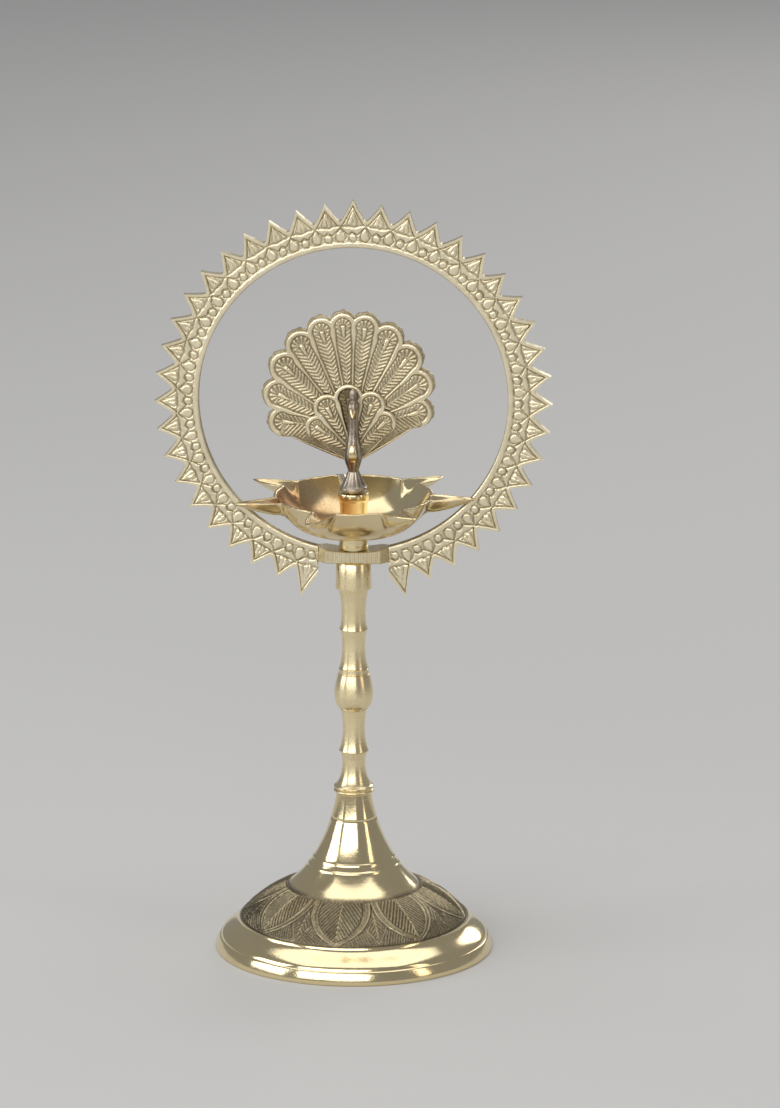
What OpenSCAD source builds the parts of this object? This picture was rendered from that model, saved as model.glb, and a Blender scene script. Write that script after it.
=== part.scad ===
// Standing oil lamp: a turned stem on a hollow foot, an open dish with wick spouts,
// a cast sun-ray halo and a peacock finial. Every piece screws onto the next one.
// Millimetres, +Z up, origin at the centre of the resting plane, the front faces -Y.

/* [Foot] */
// Radius of the foot where it rests
foot_r = 45.5; // [36:0.5:56]
// Height of the foot, from the table to the stem
foot_h = 52.2; // [43:0.1:63]
// Height of the plain rim band
rim_h = 4.4; // [3:0.1:6]
// How far the rim band leans in at its top
rim_lean = 1.6; // [0.5:0.1:3]
// Radial width of the polished slope
slope_w = 6.1; // [4:0.1:8]
// Height of the polished slope
slope_h = 6.1; // [4:0.1:8]
// Radial width of the leaf band
band_w = 16.1; // [12:0.1:18]
// Height of the leaf band
band_h = 11.2; // [8:0.1:13]
// Radius of the foot's neck under the stem
neck_r = 5.7; // [5:0.1:8]
// Wall thickness of the foot casting
foot_wall = 1.7; // [1.2:0.1:2.4]
// Thickness of the solid boss in the foot's neck
boss_h = 16; // [12:0.5:20]
// Radius of the room around the foot nut
nut_room_r = 9; // [8.5:0.1:9.5]

/* [Stem] */
// Height of the first stem section, with the double bead
lower_h = 14.5; // [13:0.1:20]
// Height of the second stem section
mid_h = 14.2; // [12:0.1:20]
// Height of the round knop and its band
knop_h = 13.8; // [11:0.1:18]
// Height of the section above the knop
upper_h = 13.1; // [11:0.1:18]
// Height of the section below the head
top_h = 13.7; // [11:0.1:18]
// Height of the plain head that carries the halo
head_h = 9.1; // [7.5:0.1:12]
// Radius of the double bead collar
collar_r = 6.8; // [6:0.1:8]
// Largest radius of the knop
knop_r = 6.4; // [5.5:0.1:8]
// Smallest radius of the waists
waist_r = 3.7; // [3.4:0.1:4.2]
// Radius of the plain head
head_r = 5.75; // [5.2:0.05:7]

/* [Screwed joints] */
// Radius of the spigot under each stem section
spigot_r = 1.9; // [1.6:0.05:2.1]
// Length of those spigots
spigot_l = 5; // [3.5:0.1:6]
// Radius of the long tail that runs down through the foot
tail_r = 2.5; // [2:0.1:3]
// Radius of the stud through halo, neck, dish and spool nut
stud_r = 2.5; // [2:0.1:3]
// Radius of the small stud under the peacock
finial_stud_r = 1.8; // [1.4:0.1:2.2]
// Clearance around every screwed piece
play = 0.05; // [0.02:0.01:0.1]
// Spare depth at the bottom of a blind hole
end_gap = 0.4; // [0.2:0.1:1]
// Foot nut, width across flats
nut_af = 8; // [7:0.5:10]
// Foot nut, thickness
nut_h = 4; // [3:0.5:5]
// Foot washer radius
washer_r = 6.6; // [5.5:0.1:8]
// Foot washer thickness
washer_h = 1.2; // [0.8:0.1:2]

/* [Halo] */
// Inner radius of the sun ring
ring_in_r = 50; // [41:0.5:62]
// Radial width of the ring up to the roots of the rays
ring_w = 8.8; // [7:0.1:11]
// Length of a ray
ray_l = 5.6; // [4:0.1:8]
// Number of rays
rays = 41; // [31:2:51]
// Angle left free of rays at the lug
lug_arc = 21; // [16:0.5:30]
// Thickness of the ring
ring_t = 3; // [2:0.1:4]
// Width of the raised inner rim
bead_w = 1.8; // [1:0.1:2.5]
// Depth of the relief on the front
relief = 0.4; // [0.2:0.1:0.6]
// Height of the cross lug at its centre
lug_h = 3.8; // [3:0.1:5]
// Width of the lug where it leaves the ring
lug_w = 23; // [20:0.5:26]
// Width of the lug's front face
lug_face_w = 17.8; // [14:0.1:19]
// Depth of the lug, front to back
lug_d = 9.4; // [8:0.1:12]
// Gap above and below the lug, so that the halo can swivel
swivel_gap = 0.05; // [0.02:0.01:0.1]

/* [Dish] */
// Radius of the dish at its rim
dish_r = 26; // [21.5:0.1:32]
// Depth of the dish, outside
dish_h = 11.6; // [9.5:0.1:14]
// Wall thickness of the dish
dish_wall = 1.3; // [1:0.1:2]
// Radius of the flat floor, outside
floor_r = 8; // [7:0.1:12]
// Number of wick spouts
spouts = 7; // [5:1:9]
// Length of a spout beyond the rim
spout_l = 14.2; // [10:0.1:17]
// Width of a spout at the rim
spout_w = 8.4; // [5:0.1:10]
// Depth of a spout at the rim
spout_d = 4.6; // [3:0.1:5.5]
// Clearance between the right-hand spout and the front of the ring
spout_clear = 0.6; // [0.4:0.1:3]
// Radius of the neck under the dish
dish_neck_r = 4.7; // [4:0.1:6]
// Height of the neck under the dish
dish_neck_h = 5.6; // [4:0.1:8]
// Radius of the spool nut's flanges
spool_r = 5.1; // [4.5:0.1:6]
// Height of the spool nut
spool_h = 11.9; // [11:0.1:14]

/* [Peacock] */
// Gap between the spool nut and the peacock's foot
foot_gap = 0.8; // [0.3:0.1:1.2]
// Radius of the mound under the bird
mound_r = 4.6; // [4:0.1:5.5]
// Height of the mound
mound_h = 6.4; // [6:0.1:8]
// Radius of the bird's breast
breast_r = 3.1; // [2.8:0.1:4]
// Height of the breast's widest point above the mound's base
breast_z = 11.2; // [10.5:0.1:13]
// Height of the head above the mound's base
head_z = 27.6; // [24:0.1:30]
// Radius of the neck
bird_neck_r = 2; // [1.6:0.1:2.4]
// How far the bird leans out in front of its foot
bird_out = 2.4; // [1.5:0.1:3]
// Radius of the scalloped tail, about its own centre
fan_r = 27.2; // [23:0.2:33]
// How far the tail's back edge stands out past its front
fan_lip = 1; // [0.5:0.1:1.5]
// Lean of both fans to the left, in degrees
fan_lean = 4.5; // [0:0.5:5]
// Number of feathers in the tail
feathers = 11; // [9:2:11]
// Angle between the middle feathers
feather_pitch = 12; // [11:0.1:13]
// How much wider the angle grows with each feather outwards
feather_spread = 1.9; // [0:0.1:2]
// Thickness of the tail plate
fan_t = 2.4; // [1.8:0.1:3]
// Radius of the small fan of coverts, about its own centre
covert_r = 14.3; // [12:0.1:16]
// Number of coverts
coverts = 5; // [3:2:7]
// Thickness of the covert plate
covert_t = 1.6; // [1:0.1:2]
// Radius of the rivet that holds both fans
rivet_r = 0.8; // [0.6:0.1:1]

/* [Hidden] */
$fn = 96;
polished = "#d8bf7c";
satin = "#c9b070";
antique = "#8d7c57";
shade = "#a08a58";

// Heights of the joints, counted up from the table
lower_z = foot_h;
mid_z = lower_z + lower_h;
knop_z = mid_z + mid_h;
upper_z = knop_z + knop_h;
top_z = upper_z + upper_h;
head_socket_z = top_z + top_h;
lug_z = head_socket_z + head_h + swivel_gap;
ring_z = lug_z + lug_h + ring_in_r;
neck_z = ring_z - sqrt(pow(ring_in_r, 2) - pow(dish_neck_r, 2)) + swivel_gap;
dish_z = neck_z + dish_neck_h;
rim_z = dish_z + dish_h;
floor_z = dish_z + dish_wall;
spool_top_z = floor_z + spool_h;
finial_z = spool_top_z + foot_gap;

// The right-hand spout passes in front of the ring, which it meets this far from its tip
ring_chord = sqrt(pow(ring_in_r, 2) - pow(ring_z - rim_z, 2));
past_ring = max(0, min(1, (dish_r + spout_l - ring_chord) / spout_l));
past_t = (sqrt(0.36 + 1.6 * past_ring) - 0.6) / 0.8;
half_there = spout_w / 2 * (1.9 * past_t * (1 - past_t) + pow(past_t, 2));
spout_turn = -asin((ring_t / 2 + relief + spout_clear + half_there) / ring_chord);

// Foot
band_out_r = foot_r - rim_lean - slope_w;
band_in_r = band_out_r - band_w;
band_mid_r = (band_out_r + band_in_r) / 2 + 1.4;
band_drop = 3.6;
boss_z = foot_h - boss_h;
tail_end_z = boss_z - washer_h - nut_h - 1.4;

// Blind holes: the centre stud and the finial stud meet inside the spool nut
finial_hole_d = 5.4;
finial_stud_up = 4.2;
spool_web = 0.8;
stud_low_z = lug_z - swivel_gap - 5.6;
stud_top_z = spool_top_z - finial_hole_d - spool_web - end_gap;

// Halo: rays are spaced evenly over the arc that the lug leaves free
ring_out_r = ring_in_r + ring_w;
ray_step = (360 - lug_arc) / rays;
valley_share = 0.1;
flank_x = 0.4;
flank_y = 0.42;

// Peacock: everything behind the flat back plane is plate
back_y = 0.4;
covert_y = back_y + covert_t;
fan_back_y = covert_y + fan_t;
plate_z = finial_z + mound_h + 3.4;
fan_rise = 21;
fan_drop = 11.5;
fan_focus = fan_rise - fan_drop;
fan_root_r = 3.6;
covert_drop = 8.2;
covert_focus = 2.4;
covert_root_r = 3;
covert_pitch = 25;
rivet_z = plate_z + 3.2;
head_ball_r = 2.3;
crest_h = 6.4;

// A smooth bow from a to c, pulled towards b
function bow(a, b, c, n = 7) =
    [for (i = [0:n]) let (t = i / n) a * pow(1 - t, 2) + b * 2 * t * (1 - t) + c * t * t];

// A smooth S from a to b that starts and ends upright
function ogee(a, b, n = 8) =
    [for (i = [0:n]) let (t = i / n, s = t * t * (3 - 2 * t))
        [a[0] + (b[0] - a[0]) * s, a[1] + (b[1] - a[1]) * t]];

// Outline of a turned solid, closed along the axis
module turned(points) {
    rotate_extrude() polygon(concat([[0, points[0][1]]], points, [[0, points[len(points) - 1][1]]]));
}

// A stem section: outline, spigot below and blind socket above
module section(points, h, below_r, below_l, socket_r, socket_d) {
    difference() {
        union() {
            turned(points);
            if (below_l > 0) translate([0, 0, -below_l]) cylinder(r = below_r, h = below_l + 1);
        }
        if (socket_d > 0) translate([0, 0, h - socket_d]) cylinder(r = socket_r, h = socket_d + 1);
    }
}

// The foot's outside, from the table to the neck
module foot_outline() {
    rim_top = [foot_r - rim_lean, rim_h];
    band_low = [band_out_r, rim_h + slope_h];
    band_top = [band_in_r, rim_h + slope_h + band_h];
    turned(concat(
        [[foot_r - 0.5, 0], [foot_r, 0.6], [foot_r, 1.4], [foot_r - rim_lean + 0.4, rim_h - 0.3]],
        ogee(rim_top, band_low),
        bow([band_out_r - 0.4, band_low[1] + 0.4], [band_mid_r, band_top[1] - band_drop], band_top),
        bow([band_in_r - 0.6, band_top[1] + 0.3], [neck_r + 3.7, (band_top[1] + foot_h) / 2 - 5],
            [neck_r, foot_h], 12)
    ));
}

module foot_shell() {
    low = [band_out_r - foot_wall, rim_h + slope_h - foot_wall];
    high = [band_in_r - foot_wall, rim_h + slope_h + band_h - foot_wall];
    color(polished) difference() {
        foot_outline();
        turned(concat(
            [[foot_r - rim_lean - foot_wall, -1], [foot_r - rim_lean - foot_wall, rim_h - foot_wall]],
            [low],
            bow(low, [band_mid_r - foot_wall, high[1] - band_drop], high),
            bow(high, [nut_room_r + 3.5, (high[1] + boss_z) / 2 - 1], [nut_room_r, boss_z])
        ));
        cylinder(r = tail_r + play, h = foot_h + 1);
    }
}

module foot_washer() {
    color(shade) translate([0, 0, boss_z - washer_h]) difference() {
        cylinder(r = washer_r, h = washer_h);
        translate([0, 0, -1]) cylinder(r = tail_r + play, h = washer_h + 2);
    }
}

module foot_nut() {
    color(shade) translate([0, 0, boss_z - washer_h - nut_h]) difference() {
        cylinder(r = nut_af / sqrt(3), h = nut_h, $fn = 6);
        translate([0, 0, -1]) cylinder(r = tail_r + play, h = nut_h + 2);
    }
}

// First section: a double bead, then a long waist up to a small step
module lower_baluster() {
    neck = waist_r + 0.05;
    points = concat(
        [[neck_r - 0.1, 0], [neck_r + 0.2, 0.5]],
        bow([collar_r - 0.7, 0.5], [collar_r + 0.3, 1.1], [collar_r - 0.6, 1.8], 5),
        bow([collar_r - 0.6, 1.9], [collar_r + 0.2, 2.5], [collar_r - 0.7, 3.1], 5),
        bow([collar_r - 0.9, 3.2], [neck + 0.4, 5.4], [neck, 9.6]),
        [[neck + 0.05, lower_h - 2.5], [waist_r + 0.4, lower_h - 1.4], [waist_r + 0.7, lower_h]]
    );
    color(polished) translate([0, 0, lower_z])
        section(points, lower_h, tail_r, foot_h - tail_end_z, spigot_r + play, spigot_l + end_gap);
}

// Second section: a sharp collar edge below, then a waist
module mid_baluster() {
    points = concat(
        [[waist_r + 1.2, 0], [waist_r + 1.2, 0.2]],
        bow([waist_r + 1.1, 0.4], [waist_r, 3.2], [waist_r - 0.1, mid_h / 2]),
        bow([waist_r - 0.1, mid_h / 2 + 0.2], [waist_r - 0.1, mid_h - 3.6], [waist_r + 0.6, mid_h])
    );
    color(polished) translate([0, 0, mid_z])
        section(points, mid_h, spigot_r, spigot_l, spigot_r + play, spigot_l + end_gap);
}

// The knop: a thin bead, an egg and a plain band between two grooves
module knop() {
    band = 2;
    belly = 3.9;
    points = concat(
        bow([waist_r + 0.7, 0], [waist_r + 1, 0.25], [waist_r + 0.7, 0.5], 3),
        bow([waist_r + 1.2, 0.6], [knop_r - 0.05, 1.1], [knop_r, belly]),
        bow([knop_r, belly + 0.1], [knop_r, 8], [waist_r + 1.3, knop_h - band]),
        [[waist_r + 1, knop_h - band + 0.15], [waist_r + 1.25, knop_h - band + 0.3],
         [waist_r + 1.15, knop_h - 0.3], [waist_r + 1, knop_h]]
    );
    color(polished) translate([0, 0, knop_z])
        section(points, knop_h, spigot_r, spigot_l, spigot_r + play, spigot_l + end_gap);
}

module upper_baluster() {
    points = concat(
        bow([waist_r + 1.1, 0], [waist_r + 0.3, 2.2], [waist_r + 0.1, upper_h / 2]),
        [[waist_r + 0.2, upper_h - 2.4], [waist_r + 0.45, upper_h - 1.4], [waist_r + 0.7, upper_h]]
    );
    color(polished) translate([0, 0, upper_z])
        section(points, upper_h, spigot_r, spigot_l, spigot_r + play, spigot_l + end_gap);
}

module top_baluster() {
    points = concat(
        [[waist_r + 0.95, 0]],
        bow([waist_r + 0.9, 0.2], [waist_r + 0.3, 1.8], [waist_r + 0.25, 5.6], 5),
        bow([waist_r + 0.25, 5.8], [waist_r + 0.3, top_h - 4], [waist_r + 1.3, top_h])
    );
    color(polished) translate([0, 0, top_z])
        section(points, top_h, spigot_r, spigot_l, spigot_r + play, spigot_l + end_gap);
}

// Plain cylinder, a little wider below; the centre stud screws into its top
module head_socket() {
    points = [[head_r + 0.1, 0], [head_r + 0.2, 0.3], [head_r, 0.6 + head_h / 3],
              [head_r - 0.05, head_h - 0.2], [head_r - 0.2, head_h]];
    color(polished) translate([0, 0, head_socket_z])
        section(points, head_h, spigot_r, spigot_l, stud_r + play, lug_z - swivel_gap - stud_low_z + end_gap);
}

// Outline of one ray, pointing along +Z of the ring, with concave flanks
function ray(k, l) =
    let (a = k * ray_step, half = ray_step / 2,
         flank = bow([half * (1 - valley_share), ring_out_r], [half * flank_x, ring_out_r + l * flank_y],
                     [0, ring_out_r + l], 4),
         around = concat([for (i = [0:4]) [-flank[i][0], flank[i][1]]], [for (i = [3:-1:0]) flank[i]]))
    [for (p = around) [p[1] * sin(a + p[0]), p[1] * cos(a + p[0])]];

// The lowest rays and the one on top are a little longer than the others
function ray_length(k) = ray_l * (k == 0 ? 1.2 : abs(k) == (rays - 1) / 2 ? 1.6 : 1);

module halo_ring() {
    last = (rays - 1) / 2;
    outline = [for (k = [-last:last]) each ray(k, ray_length(k))];
    color(satin) difference() {
        union() {
            translate([0, ring_t / 2, ring_z]) rotate([90, 0, 0]) difference() {
                union() {
                    linear_extrude(ring_t) polygon(concat([[0, -ring_in_r - 1]], outline));
                    linear_extrude(ring_t + relief) difference() {
                        circle(r = ring_in_r + bead_w, $fn = 180);
                        circle(r = ring_in_r - 1, $fn = 180);
                    }
                }
            }
            lug();
        }
        // Window inside the ring, and the room for the head under the lug
        translate([0, ring_t * 4, ring_z]) rotate([90, 0, 0])
            cylinder(r = ring_in_r, h = ring_t * 8, $fn = 180);
        translate([-lug_w / 2, -lug_d, lug_z - 2 * ring_w]) cube([lug_w, 2 * lug_d, 2 * ring_w]);
        cylinder(r = stud_r + play, h = ring_z);
    }
}

// Cross lug: a bar through the bottom of the ring, with tapered ends
module lug() {
    top = lug_h + 4;
    translate([0, 0, lug_z]) linear_extrude(top) polygon([
        [-lug_w / 2, -ring_t / 2], [-lug_face_w / 2, -lug_d / 2], [lug_face_w / 2, -lug_d / 2],
        [lug_w / 2, -ring_t / 2], [lug_w / 2, ring_t / 2], [lug_face_w / 2, lug_d / 2],
        [-lug_face_w / 2, lug_d / 2], [-lug_w / 2, ring_t / 2]
    ]);
}

module centre_stud() {
    color(shade) translate([0, 0, stud_low_z]) cylinder(r = stud_r, h = stud_top_z - stud_low_z);
}

module dish_neck() {
    points = [[dish_neck_r - 0.2, 0], [dish_neck_r, 0.3], [dish_neck_r, 1.2], [dish_neck_r - 0.15, 1.35],
              [dish_neck_r, 1.5], [dish_neck_r, dish_neck_h - 0.2], [dish_neck_r + 0.1, dish_neck_h]];
    color(polished) translate([0, 0, neck_z]) difference() {
        turned(points);
        translate([0, 0, -1]) cylinder(r = stud_r + play, h = dish_neck_h + 2);
    }
}

// Inside or outside of the bowl: a flat floor and a side that steepens to the rim
module bowl(shrink, up) {
    r = dish_r - shrink;
    turned(concat(
        bow([floor_r - shrink, up], [r - 5, up + 0.6], [r - 1.6, dish_h - 5]),
        bow([r - 1.4, dish_h - 4.6], [r - 0.1, dish_h - 2.4], [r, dish_h + (up > 0 ? 1 : 0)], 3)
    ));
}

// A tapering channel: a curved V section whose keel climbs to the rim's height at the tip
module channel(shrink) {
    w = spout_w / 2 - shrink;
    d = spout_d - shrink;
    climb = atan(spout_d / spout_l);
    side = bow([0, -d], [w * 0.95, -d * 0.7], [w, 0], 5);
    reach = spout_l + 8;
    section_points = concat(side, [[w, 4], [-w, 4]], [for (i = [5:-1:1]) [-side[i][0], side[i][1]]]);
    translate([dish_r, 0, dish_h]) rotate([0, -climb, 0]) translate([-8, 0, 0])
        rotate([90, 0, 90]) linear_extrude(reach) polygon(section_points);
}

module oil_dish() {
    color(polished) translate([0, 0, dish_z]) rotate(spout_turn) difference() {
        union() {
            bowl(0, 0);
            for (i = [0:spouts - 1]) rotate(i * 360 / spouts) channel(0);
        }
        bowl(dish_wall, dish_wall);
        for (i = [0:spouts - 1]) rotate(i * 360 / spouts) channel(dish_wall * 0.8);
        translate([0, 0, dish_h]) cylinder(r = dish_r + spout_l + 10, h = 20);
        translate([0, 0, -1]) cylinder(r = stud_r + play, h = dish_wall + 2);
    }
}

// Spool nut: two flanges and a hollow waist
module dish_nut() {
    points = concat(
        [[spool_r - 0.2, 0], [spool_r, 0.2], [spool_r, 1.6]],
        bow([spool_r - 0.3, 1.9], [spool_r - 0.9, spool_h / 2], [spool_r - 0.3, spool_h - 2.4]),
        [[spool_r, spool_h - 2.1], [spool_r, spool_h - 0.3], [spool_r - 0.3, spool_h]]
    );
    color(polished) translate([0, 0, floor_z]) difference() {
        turned(points);
        translate([0, 0, -1]) cylinder(r = stud_r + play, h = stud_top_z - floor_z + 1 + end_gap);
        translate([0, 0, spool_h - finial_hole_d]) cylinder(r = finial_stud_r + play, h = finial_hole_d + 1);
    }
}

module finial_stud() {
    low = spool_top_z - finial_hole_d + end_gap;
    color(shade) translate([0, 0, low]) cylinder(r = finial_stud_r, h = finial_z + finial_stud_up - low);
}

// The bird: ribbed mound, breast, neck, head, beak and crest; its back is cut flat for the fans
module peacock_body() {
    mound = concat(
        [[mound_r - 0.4, 0], [mound_r, 0.5], [mound_r - 0.1, 1.1]],
        bow([mound_r - 0.3, 1.2], [bird_neck_r + 1.2, 3.6], [bird_neck_r, mound_h]),
        [[bird_neck_r, mound_h + 3]]
    );
    bird = concat(
        bow([bird_neck_r * 0.7, mound_h - 0.6], [breast_r * 0.95, mound_h], [breast_r, breast_z], 5),
        bow([breast_r, breast_z + 0.2], [breast_r * 0.85, breast_z + 5], [bird_neck_r, breast_z + 8], 6),
        [[bird_neck_r, head_z], [bird_neck_r * 0.6, head_z + 3]]
    );
    color(antique) translate([0, 0, finial_z]) difference() {
        union() {
            turned(mound);
            translate([0, -bird_out, 0]) {
                turned(bird);
                translate([0, 0, head_z]) sphere(r = head_ball_r, $fn = 40);
                translate([0, -head_ball_r * 0.7, head_z - 0.6]) rotate([130, 0, 0])
                    cylinder(r1 = 1.1, r2 = 0.3, h = 3.6, $fn = 24);
                translate([-0.45, -0.6, head_z]) cube([0.9, 2, crest_h]);
            }
        }
        translate([-10, back_y, plate_z - finial_z]) cube([20, 20, 60]);
        translate([0, 0, -finial_stud_up - end_gap])
            cylinder(r = finial_stud_r + play, h = 2 * (finial_stud_up + end_gap));
        translate([0, back_y - 1.6, rivet_z - finial_z]) rotate([-90, 0, 0])
            cylinder(r = rivet_r + play, h = 9, $fn = 32);
    }
}

// Where a feather at angle a from upright meets a circle of radius r that is centred d above the focus
function feather_length(a, r, d) = d * cos(a) + sqrt(r * r - pow(d * sin(a), 2));

// Radius of the lobe that just meets its neighbours, on a feather of length l
function lobe_r(l, pitch) = 1.2 * l * sin(pitch / 2) / (1 + sin(pitch / 2));

// Direction of feather k, counted from the middle one, where the pitch grows outwards
function feather_angle(k, pitch, spread) = k * (pitch + spread * (abs(k) - 1) / 2);

// Scalloped plate: one round lobe for each feather, and a web that narrows to the root
module scallops(t, count, pitch, spread, r, drop, root, focus) {
    last = (count - 1) / 2;
    full = [for (k = [-last:last]) feather_length(feather_angle(k, pitch, spread), r, drop)];
    lobes = [for (i = [0:count - 1]) lobe_r(full[i], pitch + spread * (max(0, abs(i - last) - 0.5)))];
    tips = [for (i = [0:count - 1]) let (a = feather_angle(i - last, pitch, spread), l = full[i] - lobes[i])
        [l * sin(a), l * cos(a)]];
    edge = feather_angle(last, pitch, spread);
    lobe = lobes[count - 1];
    side = tips[count - 1] + [lobe * 0.9 * cos(edge + 20), -lobe * 0.9 * sin(edge + 20)];
    foot = -focus;
    right = bow(side, [root + (side[0] - root) * 0.5, foot + (side[1] - foot) * 0.45], [root, foot], 6);
    linear_extrude(t) polygon(concat(tips, right, [for (i = [6:-1:0]) [-right[i][0], right[i][1]]]));
    for (i = [0:count - 1]) translate(tips[i]) cylinder(r = lobes[i], h = t, $fn = 36);
}

// A plate stands on the bird's shoulders, with its focus above them, and leans with its back at y
module fan_plate(y, focus) {
    translate([0, y, plate_z]) rotate([0, -fan_lean, 0]) translate([0, 0, focus])
        rotate([90, 0, 0]) children();
}

module tail_fan() {
    last = (feathers - 1) / 2;
    lip_t = fan_t / 3;
    color(satin) difference() {
        union() {
            fan_plate(fan_back_y, fan_focus)
                scallops(fan_t, feathers, feather_pitch, feather_spread, fan_r, fan_drop,
                    fan_root_r, fan_focus);
            fan_plate(fan_back_y, fan_focus)
                scallops(lip_t, feathers, feather_pitch, feather_spread, fan_r + fan_lip, fan_drop,
                    fan_root_r, fan_focus);
            // Raised ribs between the feathers, clear of the covert plate
            for (k = [0.5 - last:last - 0.5]) fan_plate(covert_y, fan_focus)
                rotate(-feather_angle(k, feather_pitch, feather_spread))
                translate([-0.25, fan_r - fan_drop + 2, -0.45]) cube([0.5, 7, 0.8]);
        }
        below_plates();
        rivet_hole();
    }
}

module covert_fan() {
    color(satin) difference() {
        fan_plate(covert_y, covert_focus)
            scallops(covert_t, coverts, covert_pitch, 0, covert_r, covert_drop, covert_root_r, covert_focus);
        below_plates();
        rivet_hole();
    }
}

// Both plates end level with the bird's shoulders
module below_plates() {
    translate([-fan_r, -fan_r, plate_z - 10]) cube([2 * fan_r, 2 * fan_r, 10]);
}

module rivet_hole() {
    translate([0, 0, rivet_z]) rotate([-90, 0, 0]) cylinder(r = rivet_r + play, h = 20, $fn = 32);
}

// Rivet through both fans into the bird, with a low round head behind
module tail_rivet() {
    grip = fan_back_y - back_y + 1.4;
    color(shade) translate([0, back_y - 1.4, rivet_z]) rotate([-90, 0, 0]) {
        cylinder(r = rivet_r, h = grip + 0.2, $fn = 32);
        translate([0, 0, grip]) cylinder(r1 = rivet_r * 2.2, r2 = rivet_r * 1.3, h = 0.9, $fn = 32);
    }
}

foot_shell();
foot_washer();
foot_nut();
lower_baluster();
mid_baluster();
knop();
upper_baluster();
top_baluster();
head_socket();
halo_ring();
centre_stud();
dish_neck();
oil_dish();
dish_nut();
finial_stud();
peacock_body();
covert_fan();
tail_fan();
tail_rivet();
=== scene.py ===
import math

import bmesh
import bpy
import numpy as np
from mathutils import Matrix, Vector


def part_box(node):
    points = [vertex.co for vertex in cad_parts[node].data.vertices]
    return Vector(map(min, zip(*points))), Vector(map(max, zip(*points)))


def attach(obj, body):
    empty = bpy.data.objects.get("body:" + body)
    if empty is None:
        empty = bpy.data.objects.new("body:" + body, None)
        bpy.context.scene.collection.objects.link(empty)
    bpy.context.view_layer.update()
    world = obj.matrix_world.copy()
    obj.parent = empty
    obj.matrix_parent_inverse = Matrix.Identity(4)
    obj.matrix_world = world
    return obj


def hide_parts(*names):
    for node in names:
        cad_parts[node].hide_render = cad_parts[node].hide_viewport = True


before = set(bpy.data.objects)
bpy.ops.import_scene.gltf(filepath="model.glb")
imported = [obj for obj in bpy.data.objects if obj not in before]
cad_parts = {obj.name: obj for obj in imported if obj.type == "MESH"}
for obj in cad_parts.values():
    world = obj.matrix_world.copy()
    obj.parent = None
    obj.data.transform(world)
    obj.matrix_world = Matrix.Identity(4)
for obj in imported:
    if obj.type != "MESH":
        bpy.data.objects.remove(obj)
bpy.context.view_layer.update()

# Camera: a long lens a little above the lamp and a few degrees to the right of its front.
camera_away = 2.021
camera_up = 0.6296
camera_turn = math.radians(3.0)
camera_tilt = math.radians(13.81)
camera_pan = math.radians(0.3356)
camera = bpy.data.objects.new("camera", bpy.data.cameras.new("camera"))
bpy.context.scene.collection.objects.link(camera)
camera.data.lens = 208
camera.location = (camera_away * math.sin(camera_turn), -camera_away * math.cos(camera_turn), camera_up)
camera.rotation_euler = (math.pi / 2 - camera_tilt, 0, camera_turn - camera_pan)
bpy.context.scene.camera = camera

# Light: wide soft boxes in front, on the left and overhead, a warm narrow one on the right and one
# behind, in a dim grey room, so that turned brass shows pale stripes with darker ones between them.
bpy.context.scene.view_settings.view_transform = "Standard"
room = bpy.data.worlds.new("room")
room.use_nodes = True
room.node_tree.nodes["Background"].inputs["Color"].default_value = (0.20, 0.20, 0.205, 1)
room.node_tree.nodes["Background"].inputs["Strength"].default_value = 1.3
bpy.context.scene.world = room
middle_of_lamp = np.array([0.0, 0.0, 0.13])


def soft_box(name, place, size, glow, colour):
    """An area light of size (width, height) at place, turned to face the middle of the lamp. Its power
    grows with its area, so that glow is how bright it looks."""
    light = bpy.data.lights.new(name, "AREA")
    light.shape = "RECTANGLE"
    light.size, light.size_y = size
    light.energy = glow * math.pi * size[0] * size[1]
    light.color = colour
    box = bpy.data.objects.new(name, light)
    bpy.context.scene.collection.objects.link(box)
    aim = middle_of_lamp - np.array(place)
    box.location = place
    box.rotation_euler = (math.acos(-aim[2] / np.linalg.norm(aim)), 0,
                          math.atan2(aim[1], aim[0]) - math.pi / 2)


soft_box("front_box", (-0.5, -1.85, 0.92), (2.3, 0.85), 3.0, (1.0, 0.985, 0.96))
soft_box("left_box", (-1.65, -0.45, 0.75), (1.1, 0.9), 2.6, (0.97, 0.985, 1.0))
soft_box("right_box", (1.45, -0.75, 0.75), (0.28, 1.0), 2.3, (1.0, 0.84, 0.62))
soft_box("top_box", (0.0, 0.1, 1.75), (2.2, 1.7), 1.25, (1.0, 0.99, 0.97))
soft_box("back_box", (0.7, 1.7, 0.9), (0.9, 0.8), 2.2, (1.0, 0.98, 0.95))

# Floor: a plain pale matt square, wide enough to fill the view.
floor_reach = 6.0
floor_mesh = bpy.data.meshes.new("floor")
floor_mesh.from_pydata([(-floor_reach, -floor_reach, 0), (floor_reach, -floor_reach, 0),
                        (floor_reach, floor_reach, 0), (-floor_reach, floor_reach, 0)], [], [(0, 1, 2, 3)])
floor = bpy.data.objects.new("floor", floor_mesh)
bpy.context.scene.collection.objects.link(floor)
floor_paint = bpy.data.materials.new("pale_floor")
floor_paint.use_nodes = True
floor_paint.node_tree.nodes["Principled BSDF"].inputs["Base Color"].default_value = (0.60, 0.60, 0.595, 1)
floor_paint.node_tree.nodes["Principled BSDF"].inputs["Roughness"].default_value = 0.75
floor.data.materials.append(floor_paint)

# Foot ------------------------------
# One hollow brass casting: a plain rim, a polished slope, a band engraved with eight large leaves
# and left dark, and a bell turned smooth up to the stem. The stem's long tail bolts down through it.
mm = 0.001


def corner(node, end):
    """A CAD node's lowest (0) or highest (1) corner, in millimetres."""
    return np.array(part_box(node)[end]) / mm


def top(node):
    """The height of a CAD node's top, in millimetres."""
    return corner(node, 1)[2]


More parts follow.
